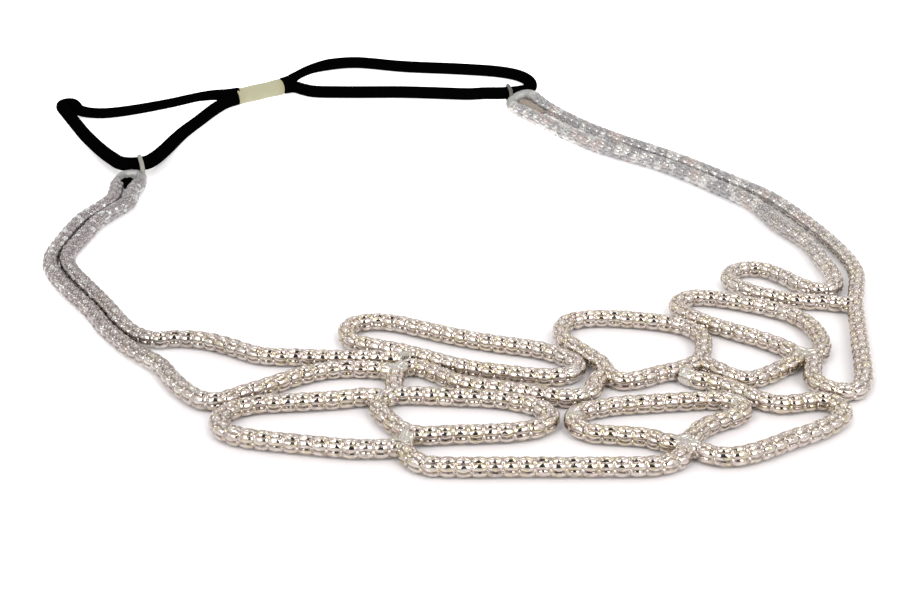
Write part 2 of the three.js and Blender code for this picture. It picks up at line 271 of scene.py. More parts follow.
@dataclass(frozen=True)
class ChainMetal(Finish):
    """Bright silver plate with a champagne tint, greyer and duller towards the back and the left.

    The grooves are darkened with painted shade, the darker mauve on the left is painted shade, and
    pale blobs at the back and sparkles on the left are painted highlights.
    """

    champagne: Colour = (0.66, 0.605, 0.555, 1.0)
    gold: Colour = (0.64, 0.57, 0.41, 1.0)
    rose: Colour = (0.66, 0.545, 0.515, 1.0)
    lilac: Colour = (0.30, 0.315, 0.335, 1.0)
    # Pale grey of the painted highlights: the blobs at the back and the sparkles on the left
    pale: Colour = (0.58, 0.59, 0.585, 1.0)
    # Mauve of the painted shade on the left
    mauve: Colour = (0.30, 0.275, 0.285, 1.0)
    # Brown of the painted shade in the grooves between domes; the random dark flecks use it too
    seam_shade: Colour = (0.20, 0.155, 0.125, 1.0)
    solder: Colour = (0.60, 0.605, 0.57, 1.0)
    wire: Colour = (0.40, 0.405, 0.40, 1.0)
    left_shade_reach: tuple[float, float] = (-0.02, -0.07)
    back_reach: tuple[float, float] = (-0.045, 0.02)
    tint: float = 0.8
    patch_size: float = 6.0
    grain_size: float = 1.9
    fleck_size: float = 0.5
    painted_glint_size: float = 2.2
    painted_sparkle_size: float = 1.2
    pebble_size: float = 0.6
    gold_from: tuple[float, float] = (0.16, 0.30)
    rose_from: tuple[float, float] = (0.98, 1.12)
    dim_from: tuple[float, float] = (0.80, 0.88)
    blush_from: tuple[float, float] = (0.5, 0.62)
    painted_glint_from: tuple[float, float] = (0.62, 0.70)
    painted_sparkle_from: tuple[float, float] = (0.80, 0.84)
    wire_from: tuple[float, float] = (0.86, 1.0)
    rose_lean: float = 0.5
    dim_share: float = 0.4
    blush_share: float = 0.5
    solder_tint: float = 0.6
    seam_shade_share: float = 0.8
    seam_shade_fade: float = 0.55
    pebble_smoothness: float = 0.6
    bump: tuple[float, float] = (0.35, -0.1)
    roughness: float = 0.10
    roughness_spread: float = 0.08
    worn: float = 0.18
    solder_dull: float = 0.1
    wire_dull: float = 0.2

    def sockets(self, graph: Graph, where: Socket) -> dict[str, Any]:
        """Give the shader's inputs.

        Args:
            graph: the material's graph.
            where: the place on the object, in metres.

        Returns:
            A value or a Socket for each named input.
        """
        split = graph.node("ShaderNodeSeparateXYZ", sockets={0: where})
        # The left's mauve is painted shade, for the darker reflections that the chain shows there
        left = graph.step(split, *self.left_shade_reach) * self.tint
        back = graph.step(split.other("Y"), *self.back_reach) * self.tint
        # How far a point lies in a groove: there the plate is darkened towards the brown, as painted
        # shade
        depth = graph.node("ShaderNodeAttribute", {"attribute_name": SEAM_SHADE}, output="Fac")
        smooth = graph.node("ShaderNodeAttribute", {"attribute_name": SMOOTH}, output="Fac")
        drawn = graph.step(smooth, *self.wire_from)
        plate = graph.mix(smooth * self.solder_tint, self._plate(graph, where, left, back), self.solder)
        plate = graph.mix(drawn, plate, self.wire)
        shade = depth * (self.seam_shade_share - back * self.seam_shade_fade)
        grain = graph.noise(where, self.grain_size, detail=1.0)
        dull = back * self.worn + smooth * self.solder_dull + drawn * self.wire_dull
        return {
            "Base Color": graph.mix(shade, plate, self.seam_shade),
            "Metallic": 1.0,
            "Roughness": self.roughness + grain * self.roughness_spread + dull,
            "Normal": graph.bump(self._pebble(graph, where), *self.bump),
        }

    def _plate(self, graph: Graph, where: Socket, left: Socket, back: Socket) -> Socket:
        """Tint the plate: champagne in the front, grey at the back with pale painted highlights, and on
        the left a darker mauve, which is painted shade, with pale painted sparkles.

        Args:
            graph: the material's graph.
            where: the place on the object, in metres.
            left: the share of the left's painted shade.
            back: the share of the back's tint.

        Returns:
            The plate's colour.
        """
        patch = graph.noise(where, self.patch_size)
        fleck = graph.cells(where, self.fleck_size)
        warm = graph.mix(graph.step(patch - fleck, *self.gold_from), self.champagne, self.gold)
        warm = graph.mix(graph.step(fleck + patch * self.rose_lean, *self.rose_from), warm, self.rose)
        # Random dark flecks, in the same brown as the painted groove shade
        dim = graph.step(fleck.other("Green"), *self.dim_from) * self.dim_share
        warm = graph.mix(dim, warm, self.seam_shade)
        blush = graph.step(patch, *self.blush_from) * self.blush_share
        far = graph.mix(blush, self.lilac, self.rose)
        # Painted highlights: pale blobs at the back stand for the blurred glints of single domes
        painted_glint = graph.step(graph.cells(where, self.painted_glint_size), *self.painted_glint_from)
        far = graph.mix(painted_glint, far, self.pale)
        # Painted highlights: pale sparkles over the mauve painted shade on the left
        painted_sparkle = graph.step(graph.cells(where, self.painted_sparkle_size), *self.painted_sparkle_from)
        return graph.mix(left, graph.mix(back, warm, far), graph.mix(painted_sparkle, self.mauve, self.pale))

    def _pebble(self, graph: Graph, where: Socket) -> Socket:
        """Make the small round facets of the plate.

        Args:
            graph: the material's graph.
            where: the place on the object, in metres.

        Returns:
            The distance from each facet's middle.
        """
        sockets = {
            "Vector": where,
            "Scale": 1.0 / (self.pebble_size * MM),
            "Smoothness": self.pebble_smoothness,
        }
        return graph.node("ShaderNodeTexVoronoi", {"feature": "SMOOTH_F1"}, sockets, "Distance")


@dataclass(frozen=True)
class PaleWire(Finish):
    """Satin pale wire of the end rings."""

    colour: Colour = (0.36, 0.355, 0.30, 1.0)
    shade: Colour = (0.24, 0.24, 0.215, 1.0)
    wear_size: float = 1.2
    scratch_size: float = 0.2
    metallic: float = 0.7
    bump: tuple[float, float] = (0.15, 0.04)
    roughness: float = 0.4
    roughness_spread: float = 0.2

    def sockets(self, graph: Graph, where: Socket) -> dict[str, Any]:
        """Give the shader's inputs.

        Args:
            graph: the material's graph.
            where: the place on the object, in metres.

        Returns:
            A value or a Socket for each named input.
        """
        wear = graph.noise(where, self.wear_size, detail=3.0)
        return {
            "Base Color": graph.mix(wear, self.shade, self.colour),
            "Metallic": self.metallic,
            "Roughness": self.roughness + wear * self.roughness_spread,
            "Normal": graph.bump(graph.noise(where, self.scratch_size, detail=4.0), *self.bump),
        }


@dataclass(frozen=True)
class ElasticBraid(Finish):
    """Matt braid of the round elastic and the knots."""

    colour: Colour = (0.0006, 0.0006, 0.0007, 1.0)
    lint: Colour = (0.0025, 0.0025, 0.0028, 1.0)
    fibre_size: float = 0.25
    lint_from: tuple[float, float] = (0.5, 0.75)
    bump: tuple[float, float] = (0.4, 0.08)
    roughness: float = 0.8
    roughness_spread: float = 0.15

    def sockets(self, graph: Graph, where: Socket) -> dict[str, Any]:
        """Give the shader's inputs.

        Args:
            graph: the material's graph.
            where: the place on the object, in metres.

        Returns:
            A value or a Socket for each named input.
        """
        fibre = graph.noise(where, self.fibre_size, detail=4.0)
        return {
            "Base Color": graph.mix(graph.step(fibre, *self.lint_from), self.colour, self.lint),
            "Roughness": self.roughness + fibre * self.roughness_spread,
            "Specular IOR Level": 0.0,
            "Normal": graph.bump(fibre, *self.bump),
        }


@dataclass(frozen=True)
class CreamSleeve(Finish):
    """Soft cream sleeve, yellower towards its rims, with painted shade in its mouths."""

    middle: tuple[float, float, float]
    way: tuple[float, float, float]
    half_length: float
    colour: Colour = (0.335, 0.332, 0.215, 1.0)
    rim: Colour = (0.30, 0.275, 0.158, 1.0)
    # Near black of the painted shade inside the mouths
    mouth: Colour = (0.004, 0.004, 0.003, 1.0)
    rim_from: float = 0.55
    rim_share: float = 0.7
    bore: tuple[float, float] = (1.85 * MM, 1.7 * MM)
    mottle_size: float = 1.5
    mottle_share: float = 0.15
    bump: tuple[float, float] = (0.2, 0.1)
    roughness: float = 0.45
    roughness_spread: float = 0.15

    def sockets(self, graph: Graph, where: Socket) -> dict[str, Any]:
        """Give the shader's inputs.

        Args:
            graph: the material's graph.
            where: the place on the object, in metres.

        Returns:
            A value or a Socket for each named input.
        """
        minus = {"operation": "SUBTRACT"}
        offset = graph.node("ShaderNodeVectorMath", minus, {0: where, 1: self.middle})
        dot = {"operation": "DOT_PRODUCT"}
        along = graph.node("ShaderNodeVectorMath", dot, {0: offset, 1: self.way}, "Value")
        reach = graph.node("ShaderNodeVectorMath", dot, {0: offset, 1: offset}, "Value")
        square = along * along
        far = graph.step(square, (self.rim_from * self.half_length) ** 2, self.half_length**2)
        mottle = graph.noise(where, self.mottle_size, detail=3.0)
        yellow = far * self.rim_share + mottle * self.mottle_share
        cream = graph.mix(yellow, self.colour, self.rim)
        # Painted shade inside each mouth's bore
        inside = graph.step(reach - square, self.bore[0] ** 2, self.bore[1] ** 2)
        return {
            "Base Color": graph.mix(inside, cream, self.mouth),
            "Roughness": self.roughness + mottle * self.roughness_spread,
            "Normal": graph.bump(mottle, *self.bump),
        }


@dataclass(frozen=True)
class TableTop(Finish):
    """Plain white table, very slightly lilac, which glows under the back and the left."""

    colour: Colour = (0.86, 0.845, 0.87, 1.0)
    pale: Colour = (0.88, 0.87, 0.89, 1.0)
    unlit: Colour = (0.0, 0.0, 0.0, 1.0)
    glow: Colour = (0.36, 0.36, 0.36, 1.0)
    bright: Colour = (0.8, 0.8, 0.8, 1.0)
    glow_behind: tuple[float, float] = (-0.05, 0.03)
    glow_left: tuple[float, float] = (-0.04, -0.06)
    bright_behind: tuple[float, float] = (0.036, 0.06)
    tone_size: float = 60.0
    roughness: float = 0.12

    def sockets(self, graph: Graph, where: Socket) -> dict[str, Any]:
        """Give the shader's inputs.

        Args:
            graph: the material's graph.
            where: the place on the object, in metres.

        Returns:
            A value or a Socket for each named input.
        """
        split = graph.node("ShaderNodeSeparateXYZ", sockets={0: where})
        along = split.other("Y")
        behind = graph.step(along, *self.glow_behind)
        left = graph.step(split, *self.glow_left)
        light = graph.mix(behind + left - behind * left, self.unlit, self.glow)
        return {
            "Base Color": graph.mix(graph.noise(where, self.tone_size), self.colour, self.pale),
            "Roughness": self.roughness,
            "Emission Color": graph.mix(graph.step(along, *self.bright_behind), light, self.bright),
            "Emission Strength": 1.0,
        }


@dataclass
class Route:
    """A smooth line through given points, in millimetres on the table."""

    points: Sequence[Sequence[float]]
    lie: Lie = Lie.OPEN
    per_span: int = 32
    nudge: float = 0.25
    length: float = field(init=False)
    _shares: np.ndarray = field(init=False, repr=False)
    _places: np.ndarray = field(init=False, repr=False)

    def __post_init__(self) -> None:
        """Lay out the line closely and measure it."""
        knots = np.asarray(self.points, float) - TABLE_MIDDLE
        if self.lie is Lie.CLOSED:
            padded = np.vstack([knots[-1:], knots, knots[:2]])
        else:
            padded = np.vstack([2 * knots[0] - knots[1], knots, 2 * knots[-1] - knots[-2]])
        spans = [self._span(padded[k : k + 4]) for k in range(len(padded) - 3)]
        places = np.vstack([*spans, padded[-2:-1]])
        steps = np.linalg.norm(np.diff(places, axis=0), axis=1)
        self._shares = np.concatenate([[0.0], np.cumsum(steps)])
        self._places = places
        self.length = float(self._shares[-1])

    def _span(self, four: np.ndarray) -> np.ndarray:
        """Lay out one span of a centripetal Catmull-Rom line.

        Args:
            four: the points before, at both ends of and after the span.

        Returns:
            Points from the span's start up to, but without, its end.
        """
        before, start, end, after = four
        gaps = np.sqrt(np.linalg.norm(np.diff(four, axis=0), axis=1))
        first, middle, last = gaps
        out = (start - before) / first - (end - before) / (first + middle) + (end - start) / middle
        into = (end - start) / middle - (after - start) / (middle + last) + (after - end) / last
        out, into = out * middle, into * middle
        t = np.linspace(0.0, 1.0, self.per_span, endpoint=False)[:, None]
        cubic = 2 * start - 2 * end + out + into
        square = -3 * start + 3 * end - 2 * out - into
        return ((cubic * t + square) * t + out) * t + start

    def at(self, along: np.ndarray) -> np.ndarray:
        """Give the places at distances along the line.

        Args:
            along: distances in millimetres. On a loop they wrap round.

        Returns:
            One point for each distance.
        """
        if self.lie is Lie.CLOSED:
            along = np.mod(along, self.length)
        columns = [np.interp(along, self._shares, column) for column in self._places.T]
        return np.stack(columns, axis=-1)

    def frames(self, along: np.ndarray) -> tuple[np.ndarray, np.ndarray, np.ndarray]:
        """Give the places and the level and upright ways of the line's section.

        Args:
            along: distances in millimetres.

        Returns:
            Places, level ways and upright ways, one row for each distance.
        """
        low, high = along - self.nudge, along + self.nudge
        if self.lie is Lie.OPEN:
            low, high = np.clip(low, 0.0, self.length), np.clip(high, 0.0, self.length)
        ways = self.at(high) - self.at(low)
        level = np.cross(UP, ways)
        level /= np.linalg.norm(level, axis=1, keepdims=True)
        upright = np.cross(ways, level)
        upright /= np.linalg.norm(upright, axis=1, keepdims=True)
        return self.at(along), level, upright


def heading(turn_deg: float) -> np.ndarray:
    """Give the level way at an angle from the table's X axis."""
    turn = math.radians(turn_deg)
    return np.array([math.cos(turn), math.sin(turn), 0.0])


def on_table(points: Sequence[tuple[float, float]]) -> list[tuple[float, float, float]]:
    """Lift a chain's flat route to the height of its centre-line."""
    return [(x, y, CHAIN_Z) for x, y in points]


def ease(value: np.ndarray, low: float, high: float) -> np.ndarray:
    """Rise smoothly from 0 at low to 1 at high, either of which may be the larger."""
    share = np.clip((value - low) / (high - low), 0.0, 1.0)
    return share * share * (3.0 - 2.0 * share)


def full_turn(sides: int) -> np.ndarray:
    """Give evenly spaced angles of one turn, in radians."""
    return np.linspace(0.0, 2 * np.pi, sides, endpoint=False)


def ways_out(angles: np.ndarray, level: np.ndarray, upright: np.ndarray) -> np.ndarray:
    """Give the ways out from a line, at angles round each of its sections.

    Args:
        angles: radians, in one row for each section or one for them all.
        level: the way at angle 0, in one row for each section or one for them all.
        upright: the way a quarter turn on, in the same form.

    Returns:
        The ways, shaped (sections, angles, 3).
    """
    turned = np.atleast_2d(angles)[:, :, None]
    level, upright = np.atleast_2d(level)[:, None], np.atleast_2d(upright)[:, None]
    return np.cos(turned) * level + np.sin(turned) * upright


def grid_mesh(name: str, grid: np.ndarray, lie: Lie) -> bpy.types.Mesh:
    """Make a tube's mesh from rings of points, with a fan at each end of an open one.

    Args:
        name: the mesh's name.
        grid: rings of points in millimetres, shaped (rings, sides, 3).
        lie: whether the last ring joins the first.

    Returns:
        A smooth closed mesh in metres.
    """
    rings, sides, _ = grid.shape
    places = grid.reshape(-1, 3)
    index = np.arange(rings * sides).reshape(rings, sides)
    if lie is Lie.CLOSED:
        index = np.vstack([index, index[:1]])
    turned = np.roll(index, -1, axis=1)
    quads = np.stack([index[:-1], turned[:-1], turned[1:], index[1:]], axis=-1).reshape(-1, 4)
    loops = quads.reshape(-1)
    sizes = np.full(len(quads), 4)
    if lie is Lie.OPEN:
        poles = np.stack([grid[0].mean(axis=0), grid[-1].mean(axis=0)])
        start, end = len(places), len(places) + 1
        places = np.vstack([places, poles])
        first = np.stack([turned[0], index[0], np.full(sides, start)], axis=-1)
        last = np.stack([index[-1], turned[-1], np.full(sides, end)], axis=-1)
        loops = np.concatenate([loops, first.reshape(-1), last.reshape(-1)])
        sizes = np.concatenate([sizes, np.full(2 * sides, 3)])
    mesh = bpy.data.meshes.new(name)
    mesh.vertices.add(len(places))
    mesh.vertices.foreach_set("co", (places * MM).reshape(-1))
    mesh.loops.add(len(loops))
    mesh.loops.foreach_set("vertex_index", loops.astype(np.int32))
    mesh.polygons.add(len(sizes))
    starts = np.concatenate([[0], np.cumsum(sizes)[:-1]])
    mesh.polygons.foreach_set("loop_start", starts.astype(np.int32))
    mesh.polygons.foreach_set("use_smooth", np.ones(len(sizes), dtype=bool))
    mesh.update(calc_edges=True)
    mesh.validate()
    return mesh


def place_piece(mesh: bpy.types.Mesh, material: bpy.types.Material) -> bpy.types.Object:
    """Put a mesh in the scene, on the headband's one body.

    Args:
        mesh: the piece's mesh, in place.
        material: what it is dressed in.

    Returns:
        The new object.
    """
    piece = bpy.data.objects.new(mesh.name, mesh)
    bpy.context.scene.collection.objects.link(piece)
    mesh.materials.append(material)
    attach(piece, BODY)
    return piece


# Lines between the straps' strands, from the eye to the front: x, y, distance apart, share of the lift
STRAP_LEFT = (
    (-71.4, 23.6, 4.8, 0.1),
    (-71.2, 20.4, 4.8, 0.1),
    (-71.2, 16.2, 3.7, 0.1),
    (-70.9, 11.0, 3.8, 0.0),
    (-72.9, 5.8, 3.5, 0.0),
    (-74.8, 1.0, 3.5, 0.0),
    (-75.7, -4.5, 3.6, 0.0),
    (-76.4, -10.5, 3.2, 0.0),
    (-76.7, -15.0, 3.1, 0.0),
    (-75.9, -20.0, 3.2, 0.0),
    (-73.3, -25.2, 3.3, 0.0),
    (-69.8, -30.3, 3.4, 0.0),
    (-63.2, -39.5, 3.0, 0.0),
    (-59.4, -45.5, 3.1, 0.0),
)
STRAP_RIGHT = (
    (18.8, 74.3, 5.6, 0.64),
    (21.4, 69.6, 5.4, 0.4),
    (25.2, 64.0, 5.7, 0.14),
    (30.5, 55.8, 6.5, 0.0),
    (37.4, 46.9, 6.5, 0.0),
    (50.4, 34.0, 4.7, 0.0),
    (60.3, 20.9, 4.6, 0.0),
    (67.0, 10.6, 4.9, 0.0),
    (70.4, 0.1, 5.9, 0.0),
    (73.9, -10.1, 4.7, 0.0),
    (75.1, -18.8, 5.2, 0.0),
    (75.2, -25.0, 4.6, 0.0),
)
# Where chains are tacked together
TACKS = (
    (-7.1, -57.0), (-9.0, -61.2), (-7.2, -82.6), (20.9, -62.9), (18.2, -75.6), (35.4, -84.0),
    (46.4, -70.6), (44.6, -68.1), (59.8, -57.0), (38.8, -62.6),
)
# Front stretches of the straps' strands
LEFT_FRONT_INNER = (
    (-6.6, -57.4), (-10.0, -57.3), (-13.5, -56.9), (-18.0, -57.0), (-25.4, -56.6), (-32.2, -55.9),
    (-37.8, -52.8), (-42.4, -50.7), (-47.0, -50.0), (-51.4, -50.4), (-54.8, -48.6),
)
LEFT_FRONT_OUTER = (
    (-54.3, -54.1), (-48.6, -59.3), (-45.6, -64.0), (-42.4, -68.0), (-39.4, -70.4), (-36.7, -70.6),
    (-33.6, -68.6), (-29.3, -65.8), (-24.7, -62.7), (-20.5, -60.9), (-16.0, -60.4), (-11.8, -60.8),
    (-9.2, -61.4),
)
RIGHT_FRONT_INNER = (
    (73.6, -37.4), (71.0, -36.9), (67.8, -36.2), (63.6, -35.8), (59.8, -34.5), (56.5, -32.6),
    (53.9, -30.1), (52.7, -26.9), (54.2, -23.8), (57.0, -22.4), (60.2, -22.9), (63.0, -25.5),
    (65.6, -29.3), (68.4, -31.6), (71.6, -30.6),
)
RIGHT_FRONT_OUTER = (
    (75.7, -31.4), (74.1, -36.4), (72.8, -42.2), (70.8, -51.1), (69.0, -59.5), (67.5, -64.9),
    (65.4, -67.5), (62.9, -67.7), (60.8, -66.4), (59.7, -64.1), (59.9, -61.8), (60.7, -59.8),
    (60.9, -57.4),
)
# Closed loops of the front, by the node that each replaces
LOOPS = {
    "chain_upper_left": (
        (-18.2, -48.2), (-17.3, -45.2), (-14.2, -43.9), (-9.8, -44.4), (-5.3, -46.4), (1.7, -49.6),
        (8.6, -52.0), (15.2, -54.0), (19.2, -56.5), (21.3, -59.4), (19.9, -62.2), (15.6, -63.1),
        (9.1, -61.9), (3.3, -60.4), (-0.8, -58.6), (-5.0, -56.3), (-9.4, -54.3), (-13.7, -52.7),
        (-16.9, -51.0),
    ),
    "chain_upper_middle": (
        (19.4, -47.6), (21.0, -44.0), (25.0, -42.6), (29.5, -42.6), (34.0, -43.3), (38.1, -44.3),
        (41.6, -46.0), (43.7, -49.2), (43.3, -53.9), (41.8, -58.0), (38.2, -60.7), (34.4, -62.2),
        (31.2, -63.8), (28.4, -64.4), (26.4, -62.9), (25.3, -59.0), (22.4, -54.6), (20.2, -51.3),
    ),
    "chain_upper_right": (
        (41.3, -37.6), (44.2, -34.6), (48.2, -34.8), (53.0, -36.4), (57.2, -38.4), (61.1, -41.1),
        (63.2, -44.1), (64.2, -48.5), (63.9, -52.6), (62.9, -55.2), (61.0, -56.4), (59.0, -55.6),
        (56.9, -52.9), (53.2, -49.8), (50.5, -48.0), (47.6, -46.0), (44.5, -43.4), (42.0, -40.4),
    ),
    "chain_centre": (
        (-8.8, -69.0), (-5.5, -68.9), (0.0, -69.3), (6.4, -69.8), (10.5, -70.8), (13.5, -72.3),
        (15.4, -74.2), (15.6, -76.2), (14.2, -78.0), (11.6, -79.2), (8.0, -79.8), (4.0, -80.1),
        (-0.6, -80.3), (-4.0, -80.6), (-7.1, -79.4), (-9.5, -76.3), (-11.3, -73.1), (-10.9, -70.4),
    ),
    "chain_lower_right": (
        (19.2, -75.7), (20.7, -73.9), (23.2, -72.9), (27.0, -71.9), (31.8, -71.3), (36.4, -70.8),
        (41.3, -70.3), (44.4, -70.7), (46.1, -72.0), (46.0, -73.9), (44.4, -75.4), (41.4, -76.9),
        (38.6, -78.9), (36.9, -81.3), (35.0, -82.9), (32.8, -82.6), (30.2, -81.2), (26.0, -80.5),
        (21.6, -79.8), (19.6, -78.1),
    ),
}
# Open lengths of the front, by the node that each replaces
OPEN_CHAINS = {
    "chain_middle": (
        (-8.9, -69.0), (-9.1, -66.7), (-9.0, -63.4), (-8.5, -61.1), (-6.5, -59.8), (-4.1, -60.6),
        (-0.3, -63.7), (2.4, -65.6), (8.1, -67.0), (12.9, -68.2), (16.8, -69.3), (19.4, -69.7),
        (21.6, -69.0), (23.2, -67.4), (23.6, -65.2), (24.9, -62.9),
    ),
    "chain_lower_left": (
        (-11.0, -69.6), (-13.6, -69.3), (-17.6, -70.1), (-22.0, -70.7), (-26.3, -71.1), (-31.0, -71.7),
        (-34.4, -73.4), (-36.0, -76.0), (-35.0, -79.0), (-32.0, -80.9), (-28.1, -81.9), (-24.2, -82.6),
        (-19.6, -83.4), (-15.0, -84.1), (-11.3, -84.2), (-9.2, -84.0), (-6.9, -83.8),
    ),
    "chain_front": (
        (-6.4, -80.4), (-6.8, -82.8), (-6.8, -84.6), (-5.6, -87.0), (-3.4, -88.5), (-0.5, -88.9),
        (7.4, -88.9), (14.7, -88.9), (22.1, -88.9), (30.2, -88.6), (33.0, -87.6), (34.6, -86.2),
        (35.4, -83.7),
    ),
    "chain_right_front": (
        (35.7, -83.4), (37.6, -84.8), (39.5, -86.0), (42.5, -86.2), (46.6, -84.7), (51.8, -81.7),
        (56.2, -79.4), (60.0, -76.6), (61.8, -73.9), (61.2, -71.5), (59.2, -70.5), (56.1, -71.0),
        (52.4, -71.6), (49.4, -70.2), (47.2, -68.2), (45.0, -66.2), (42.6, -64.7), (40.3, -63.9),
        (38.4, -62.2),
    ),
    "chain_link": (
        (58.9, -56.6), (57.5, -58.4), (54.9, -60.6), (51.9, -62.8), (48.9, -64.0), (46.5, -63.0),
        (44.8, -61.3), (43.6, -59.9), (42.4, -58.6),
    ),
}
# Centre-lines of the elastic, from the sleeve round a ring and back
ELASTIC_LEFT = (
    (-55.4, 80.6, 2.8), (-58.4, 79.3, 2.9), (-61.6, 79.3, 2.8), (-65.8, 78.9, 2.4),
    (-72.0, 75.8, 1.9), (-79.1, 72.0, 1.65), (-84.0, 69.6, 1.6), (-87.9, 68.4, 1.6),
    (-91.5, 68.7, 1.6), (-94.8, 70.6, 1.6), (-97.0, 74.4, 1.6), (-98.0, 75.4, 1.6),
    (-99.2, 75.3, 1.6), (-100.0, 74.3, 1.6), (-99.8, 72.9, 1.6), (-98.5, 70.4, 1.6),
    (-95.8, 65.3, 1.6), (-92.4, 58.9, 1.6), (-88.6, 51.9, 1.6), (-82.3, 41.4, 1.8),
    (-77.8, 34.2, 2.4), (-75.0, 30.2, 2.9), (-72.1, 28.7, 3.2), (-69.4, 30.4, 2.9),
    (-68.3, 34.8, 2.3), (-67.4, 41.4, 1.75), (-65.4, 53.4, 1.6), (-62.9, 62.6, 1.6),
    (-60.4, 71.6, 1.6), (-58.3, 76.8, 1.6), (-55.4, 80.2, 1.6),
)
ELASTIC_RIGHT = (
    (-44.9, 89.0, 2.8), (-43.3, 90.6, 3.0), (-42.2, 94.0, 3.0), (-40.2, 100.0, 2.6),
    (-37.6, 105.8, 2.0), (-33.2, 110.2, 1.7), (-26.8, 112.0, 1.6), (-13.0, 108.2, 1.6),
    (3.1, 105.8, 1.6), (13.9, 103.2, 1.6), (19.0, 99.6, 1.65), (21.5, 94.2, 1.8),
    (21.7, 88.2, 2.2), (19.8, 82.4, 3.0), (16.5, 80.2, 3.2), (13.0, 80.2, 3.0),
    (9.2, 82.0, 2.4), (5.0, 83.2, 1.8), (-1.0, 84.2, 1.65), (-12.3, 85.4, 1.6),
    (-27.7, 85.4, 1.6), (-36.4, 86.0, 1.6), (-39.6, 88.0, 1.6), (-42.0, 89.9, 1.6),
    (-44.5, 89.0, 1.6),
)
# Share of the elastic's width that is left where it is stretched, at shares of its length
STRETCH_LEFT = (
    (0.0, 1.0), (0.03, 0.9), (0.07, 0.74), (0.16, 0.79), (0.24, 0.85), (0.3, 1.0),
    (0.78, 1.0), (0.86, 0.92), (1.0, 1.0),
)
STRETCH_RIGHT = ((0.0, 1.0), (0.02, 0.9), (0.05, 0.74), (0.1, 0.82), (0.14, 1.0), (1.0, 1.0))


@dataclass(frozen=True)
class LinkSizes:
    """Sizes of the domed links of popcorn chain, in millimetres and degrees.

    Attributes:
        pitch: spacing of the links along the chain.
        out: reach of a dome's top from the centre-line.
        lengthwise: radius of a dome along the chain.
        crosswise: radius of a dome round the chain.
        taper: share by which a dome narrows to its ends.
        domes: number of domes round the chain.
        bead: radius of the bead between the corners of four domes.
        bead_out: reach of a bead from the centre-line.
        core: least reach of the surface.
        side_groove: depth of the groove between neighbours in one link.
        end_groove: depth of the groove between links.
        groove_width: about half the width of a groove.
        cuts: rows of points along a link.
        columns: columns of points over a dome.
        zigzag: turn of each link, to one side and the other by turns.
        jitter: most that a link turns further at random.
        sway: slow turn to and fro along the chain.
        sway_length: about the length of one sway.
        sway_shift: share of a sway by which each chain starts after the one before.
        spread: most that a dome is higher or lower, as a share.
        tip: share of the height that an open end keeps.
        solder: reach of the surface under a tack.
        solder_share: how much of the links a tack fills.
        solder_reach: distances from a tack where its solder starts and is full.
        wire: reach of the plain wire round a strap's eye.
        wire_reach: distances from an eye where the wire starts and is plain.
        stout: share by which a strand is thicker at the back.
        stout_reach: places along Y where it starts to thicken and is thickest.
    """

    pitch: float = 2.3
    out: float = 1.58
    lengthwise: float = 3.2
    crosswise: float = 1.2
    taper: float = 0.45
    domes: int = 6
    bead: float = 0.34
    bead_out: float = 1.5
    core: float = 1.1
    side_groove: float = 0.18
    end_groove: float = 0.04
    groove_width: float = 0.14
    cuts: int = 12
    columns: int = 9
    zigzag: float = 6.0
    jitter: float = 4.0
    sway: float = 6.0
    sway_length: float = 47.0
    sway_shift: float = 0.37
    spread: float = 0.04
    tip: float = 0.8
    solder: float = 1.5
    solder_share: float = 0.85
    solder_reach: tuple[float, float] = (2.3, 0.8)
    wire: float = 1.1
    wire_reach: tuple[float, float] = (8.5, 4.0)
    stout: float = 0.0
    stout_reach: tuple[float, float] = (-20.0, 15.0)


